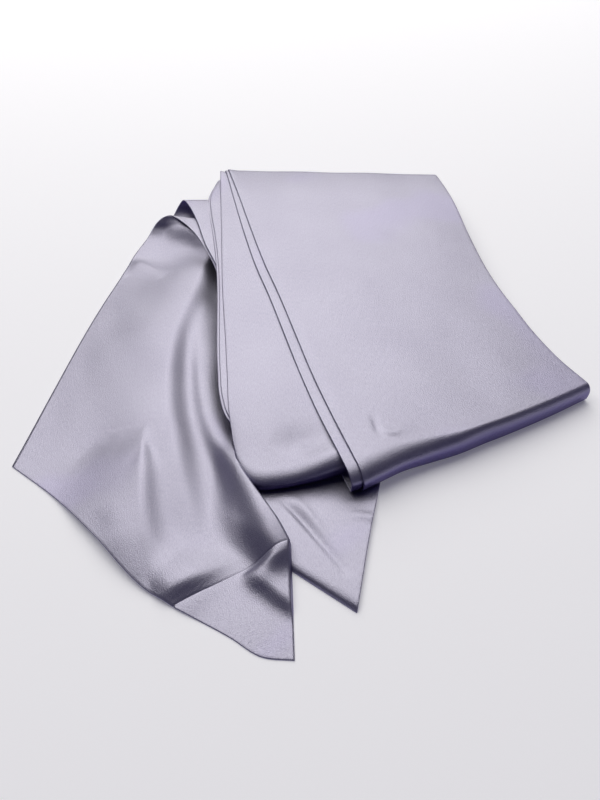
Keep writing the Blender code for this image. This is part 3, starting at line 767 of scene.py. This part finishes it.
def hidden_layers():
    """One doubled strip folded back and forth: its height over the table is a share of the
    stack's, each stretch a little narrower or wider, joined by half circles.

    The lower leaf is the same surface lower by two radii, joined to it by half a circle.
    """
    rows = smooth(HIDDEN_ROWS, HIDDEN_GRID[0])
    t = np.linspace(0.0, 1.0, HIDDEN_GRID[1])
    plan = between(rows, np.repeat(t[None], len(rows), axis=0))
    plan = follow_line(plan, HIDDEN_FRONT_LINE, t, LINE_GRIP)
    room = stack_top(plan[..., 0], plan[..., 1]) - HIDDEN_DEPTH
    pitch = room / len(HIDDEN_INSETS)
    runs = []
    for level, inset in enumerate(HIDDEN_INSETS):
        moved = plan.copy()
        moved[..., 0] -= inset * t[None]
        height = pitch * (level + 0.5) + LEAF_RADIUS
        run = np.concatenate([moved, height[..., None]], axis=-1)
        runs.append(run if level % 2 == 0 else run[::-1])
    strip = [runs[0]]
    for lower, upper in zip(runs[:-1], runs[1:]):
        start, end = lower[-1], upper[0]
        ahead = lower[-1] - lower[-2]
        ahead[:, 2] = 0.0
        ahead = unit(ahead)
        for angle in np.linspace(0.0, math.pi, 9)[1:-1]:
            share = (1.0 - math.cos(angle)) / 2
            strip.append((start + (end - start) * share + ahead * FOLD_BULGE * math.sin(angle))[None])
        strip.append(upper)
    grid = np.concatenate(strip)
    lowest = grid.copy()
    lowest[..., 2] -= 2 * LEAF_RADIUS
    edge = grid[:, -1]
    turn = []
    for angle in np.linspace(0.0, math.pi, 8)[1:-1]:
        point = edge.copy()
        point[:, 0] += LEAF_RADIUS * LEAF_BULGE * math.sin(angle)
        point[:, 2] -= LEAF_RADIUS * (1.0 - math.cos(angle))
        turn.append(point[:, None])
    grid = np.concatenate([grid, *turn, lowest[:, ::-1]], axis=1)
    sheet_of_satin("hidden_layers_cloth", grid, satin("hidden_satin"),
                   ["hidden_layers"])


hidden_layers()


# The third stretch.  Of this one only both edges show, one beside the other along the left
# side of the stack.
SOLID = 1.2                 # wall of a leaf in the solids
THIRD_RIGHT = HIDDEN_LEFT - SOLID
THIRD_GRID = (200, 12)      # rows and columns
LOWER_LEAF_SHOWN, LOWER_LEAF_DEPTH = 2.0, 1.4
LOWER_LEAF_EDGE, LOWER_LEAF_TURN = 0.3, 1.6
EdgeRow = namedtuple("EdgeRow", "left_x left_y depth")
THIRD_ROWS = (
    EdgeRow(-81, 284, 8.5),
    EdgeRow(-83, 274, 7.5),
    EdgeRow(-87, 246, 5.4),
    EdgeRow(-84, 220, 5.1),
    EdgeRow(-78.5, 190, 5.1),
    EdgeRow(-74, 162, 5.1),
    EdgeRow(-70.5, 135, 5.1),
    EdgeRow(-67, 99, 5.1),
    EdgeRow(-64, 57, 5.1),
    EdgeRow(-60, 13, 5.1),
    EdgeRow(-56, -15, 5.1),
    EdgeRow(-51.5, -29, 5.1),
    EdgeRow(-44, -40, 5.1),
)


def lay_on_stack(plan, depth):
    """Give plan points the stack's height less the depth."""
    height = stack_top(plan[..., 0], plan[..., 1]) - depth
    return np.concatenate([plan, height[..., None]], axis=-1)


def third_stretch():
    """Straight sections from the stretch's left edge into the stack.

    The lower leaf is the same surface, lower and further out at the edge.
    """
    rows = smooth(THIRD_ROWS, THIRD_GRID[0])
    t = np.linspace(0.0, 1.0, THIRD_GRID[1]) ** 1.5
    sections = np.stack([rows[:, 0], rows[:, 1], np.full(len(rows), THIRD_RIGHT), rows[:, 1]], axis=1)
    plan = between(sections, np.repeat(t[None], len(rows), axis=0))
    upper = lay_on_stack(plan, rows[:, 2][:, None])
    plan[..., 0] -= LOWER_LEAF_SHOWN * (1.0 - t)
    lower = lay_on_stack(plan, rows[:, 2][:, None] + LOWER_LEAF_DEPTH)
    lower = turned_edge(lower, "left", LOWER_LEAF_EDGE, LOWER_LEAF_TURN)
    grid = np.concatenate([turned_edge(upper, "left", SOFT_EDGE, SOFT_TURN), lower[:, ::-1]], axis=1)
    sheet_of_satin("third_stretch_cloth", grid, satin("third_satin"), ["third_stretch"])


third_stretch()


# The second stretch.  It lies under the top one and turns down in front in a fold of its
# own, which shows inside the top one's left side.
SECOND_DEPTH = 3.5
SECOND_ROWS = (
    Row(-80.5, 290, 131, 275),
    Row(-77, 247, 139, 232),
    Row(-71.5, 185, 147, 183),
    Row(-65, 107, 155, 135),
    Row(-58, 44, 163, 100),
    Row(-54, 5, 172, 70),
    Row(-50.5, -30, 182, 42),
    Row(-47, -50, 192, 13),
)
SECOND_FRONT_LINE = (
    LinePoint(-47, -50),
    LinePoint(-43, -61),
    LinePoint(-37.5, -69),
    LinePoint(-31.5, -73.5),
    LinePoint(-13.5, -73.5),
    LinePoint(-1.8, -71),
    LinePoint(10.5, -68),
    LinePoint(27, -62.5),
    LinePoint(100, -38),
    LinePoint(150, -16),
    LinePoint(192, 13),
)
SECOND_BACK_LINE = (
    LinePoint(-80.5, 290),
    LinePoint(-77, 288.5),
    LinePoint(-72, 284),
    LinePoint(-60, 281),
    LinePoint(131, 275),
)
SECOND_CREASES = (
    (Crease(-56, 6, -0.7, 6, 6), Crease(-46, 4, -0.6, 6, 6), Crease(-32, 3, 0, 6, 6)),
    (Crease(-22, -52, 0, 9, 12), Crease(-4, -56, -1.8, 9, 14), Crease(14, -54, -2.2, 9, 16),
     Crease(34, -46, 0, 9, 14)),
)
SECOND_LENGTH = 200         # rows
SECOND_RIPPLE = (60.0, 0.35, 0.8)       # size, height and turn
SECOND_REACH, SECOND_STEPS, SECOND_RUN = 12.0, 34, 4.0
SECOND_BOTTOM, SECOND_LIFT = 2.4, 0.8   # height of the fold's underside, and more at its right
SECOND_LIFT_START, SECOND_LIFT_FULL = 0.11, 0.25
SECOND_BACK_REACH, SECOND_BACK_DROP, SECOND_BACK_STEPS, SECOND_BACK_RUN = 3.5, 3.0, 10, 2.0
LOWER_POWER = 0.2           # the lower half of a fold is squarer, by this power of the sine


def fold_under(grid, reach, bottom, steps, run):
    """Carry the last row round a half ellipse down to the height bottom, then back.

    Its points are edge + ahead * reach sin a, lower by drop (1 - cos a) / 2, with a power of
    the sine in the lower half.  run is the length of the stretch under it.
    """
    edge = grid[-1]
    ahead = grid[-1] - grid[-2]
    ahead[:, 2] = 0.0
    ahead = unit(ahead)
    drop = edge[:, 2] - bottom
    rows = [grid]
    for angle in np.linspace(0.0, math.pi, steps + 1)[1:]:
        bulge = abs(math.sin(angle)) ** (1.0 if angle < math.pi / 2 else LOWER_POWER)
        point = edge + ahead * (reach * bulge)[:, None]
        point[:, 2] -= drop * (1.0 - math.cos(angle)) / 2
        rows.append(point[None])
    rows.append((rows[-1][0] - ahead * run / 2)[None])
    rows.append((rows[-2][0] - ahead * run)[None])
    return np.concatenate(rows)


def second_stretch():
    """Sections bent on to the front and the back line, laid on the stack and folded under."""
    rows = smooth(SECOND_ROWS, SECOND_LENGTH)
    t = np.concatenate([np.linspace(0.0, 0.5, 72), np.linspace(0.5, 1.0, 20)[1:]])
    plan = between(rows, np.repeat(t[None], len(rows), axis=0))
    plan = follow_line(plan, SECOND_FRONT_LINE, t, LINE_GRIP)
    plan = follow_line(plan[::-1], SECOND_BACK_LINE, t, LINE_GRIP)[::-1]
    grid = lay_on_stack(plan, SECOND_DEPTH)
    x, y = plan[..., 0], plan[..., 1]
    grid[..., 2] += creases(x, y, SECOND_CREASES) + ripple(x, y, *SECOND_RIPPLE)
    bottom = SECOND_BOTTOM + SECOND_LIFT * ramp(t, SECOND_LIFT_START, SECOND_LIFT_FULL)
    grid = fold_under(grid, np.full(len(t), SECOND_REACH), bottom, SECOND_STEPS, SECOND_RUN)
    back = grid[::-1]
    bottom = back[-1][:, 2] - SECOND_BACK_DROP
    grid = fold_under(back, np.full(len(t), SECOND_BACK_REACH), bottom, SECOND_BACK_STEPS,
                      SECOND_BACK_RUN)[::-1]
    grid = turned_edge(grid, "left", SOFT_EDGE, SOFT_TURN)
    sheet_of_satin("second_stretch_cloth", grid, satin("second_satin"),
                   ["second_stretch"])


second_stretch()


# The top stretch.  The strip's two leaves, joined by its lengthwise fold at the right.  It
# rolls down to the table in front and behind, and the lower leaf shows beyond the upper one.
TopRow = namedtuple("TopRow", "left_x left_y right_x right_y overhang")
TOP_ROWS = (
    TopRow(-71, 288, 138, 284, 3),
    TopRow(-58, 240, 148, 235, 5.5),
    TopRow(-45, 190, 154, 185, 7),
    TopRow(-30, 136, 161, 140, 8),
    TopRow(-16.5, 94, 168, 110, 8),
    TopRow(-3, 48, 177, 82, 8),
    TopRow(10, 4, 187, 54, 8),
    TopRow(22, -31, 199, 29, 8.3),
    TopRow(37.7, -73, 215.4, 3.8, 8),
)
TOP_FRONT_LINE = (
    LinePoint(37.7, -73),
    LinePoint(50, -66),
    LinePoint(65.3, -58.6),
    LinePoint(87.9, -52.3),
    LinePoint(111.4, -46.8),
    LinePoint(135.2, -37.3),
    LinePoint(159, -26.2),
    LinePoint(183.8, -13.7),
    LinePoint(215.4, 3.8),
)
TOP_CREASES = (
    (Crease(96, 34, 0, 18, 18), Crease(118, 8, -0.5, 22, 20), Crease(132, -14, -0.5, 20, 16),
     Crease(140, -30, 0, 14, 14)),
    (Crease(158, 44, 0, 14, 14), Crease(172, 22, -0.3, 16, 14), Crease(182, 4, -0.25, 12, 10),
     Crease(190, -8, 0, 9, 9)),
    (Crease(112, 72, 0, 12, 12), Crease(122, 58, -0.3, 12, 12), Crease(128, 46, 0, 12, 12)),
    (Crease(51, -33, 0, 1.7, 1.7), Crease(53.2, -43, -1.2, 1.9, 1.6), Crease(55.5, -55, 0, 1.7, 1.7)),
    (Crease(56, -44, 0, 2, 3), Crease(61, -50, 0.9, 2.6, 3), Crease(72, -47.5, 0.5, 4, 4),
     Crease(84, -44, 0, 5, 5)),
)
TOP_LENGTH = 200            # rows
TOP_RIPPLE = (70.0, 0.4, 0.3)           # size, height and turn
FOLDED_RADIUS = 1.0         # half the distance between both leaves
TOP_GRIP = 5                # as LINE_GRIP
FRONT_REACH, FRONT_NARROWING, FRONT_STEPS, FRONT_RUN = 16.0, 10.3, 40, 12.0
NARROWING_START, NARROWING_FULL = 0.05, 0.55        # shares of the width, as the next two
OVER_TAIL = 2.0             # lift of the front fold where it lies on the right tail
OVER_TAIL_FULL, OVER_TAIL_END = 0.13, 0.33
BACK_REACH, BACK_NARROWING, BACK_STEPS, BACK_RUN = 12.0, 2.0, 24, 10.0
BACK_DROP, BACK_DROP_START, BACK_DROP_LENGTH = 2.6, 238.0, 50.0
EDGE_DIP = 0.5              # how far the upper leaf's left edge sinks on to the lower leaf


def top_stretch():
    """Sections bent on to the front line, laid on the stack and folded under at both ends.

    The lower leaf is the same surface sunk along its normal by two radii, with more of it
    at the left, and half a circle joins them at the right.
    """
    rows = smooth(TOP_ROWS, TOP_LENGTH)
    width = np.linalg.norm(rows[:, 2:4] - rows[:, 0:2], axis=1)
    even = np.concatenate([np.linspace(0.0, 0.06, 13), np.linspace(0.06, 1.0, 92)[1:]])
    outer_t = np.repeat(even[None], len(rows), axis=0)
    shown = -(rows[:, 4] / width)[:, None] * np.linspace(1.0, 0.0, 10)[None, :-1]
    inner_t = np.concatenate([shown, np.repeat(even[None, ::5], len(rows), axis=0)], axis=1)

    def wrapped(t, dip):
        """The surface of one leaf; dip is how far its left edge sinks."""
        plan = follow_line(between(rows, t), TOP_FRONT_LINE, t[-1], TOP_GRIP)
        grid = lay_on_stack(plan, 0.0)
        x, y = plan[..., 0], plan[..., 1]
        relief = creases(x, y, TOP_CREASES) + ripple(x, y, *TOP_RIPPLE)
        relief = relief - BACK_DROP * np.clip((y - BACK_DROP_START) / BACK_DROP_LENGTH, 0, 2) ** 2
        grid[..., 2] += relief * ramp(t, -0.02, 0.05) - dip * (1.0 - ramp(t, 0.0, 0.04))
        bottom = SOLID / 2 + OVER_TAIL * (1.0 - ramp(t[-1], OVER_TAIL_FULL, OVER_TAIL_END))
        reach = FRONT_REACH - FRONT_NARROWING * ramp(t[-1], NARROWING_START, NARROWING_FULL)
        grid = fold_under(grid, reach, bottom, FRONT_STEPS, FRONT_RUN)
        bottom = np.full(t.shape[1], SOLID / 2)
        reach = BACK_REACH - BACK_NARROWING * t[0]
        return fold_under(grid[::-1], reach, bottom, BACK_STEPS, BACK_RUN)[::-1]

    outer = wrapped(outer_t, EDGE_DIP)
    base = wrapped(inner_t, 0.0)
    inner = base - side_normals(base) * 2 * FOLDED_RADIUS
    edge = outer[:, -1]
    normal = side_normals(outer)[:, -1]
    across = unit(outer[:, -1] - outer[:, -2])
    turn = []
    for angle in np.linspace(0.0, math.pi, 9)[1:-1]:
        out = FOLDED_RADIUS * math.sin(angle)
        sunk = FOLDED_RADIUS * (1.0 - math.cos(angle))
        turn.append((edge + across * out - normal * sunk)[:, None])
    grid = np.concatenate([turned_edge(outer, "left", SOFT_EDGE, SOFT_TURN), *turn,
                           turned_edge(inner, "left", SOFT_EDGE, SOFT_TURN)[:, ::-1]], axis=1)
    sheet_of_satin("top_stretch_cloth", grid, satin("top_satin"), ["top_stretch"])


top_stretch()
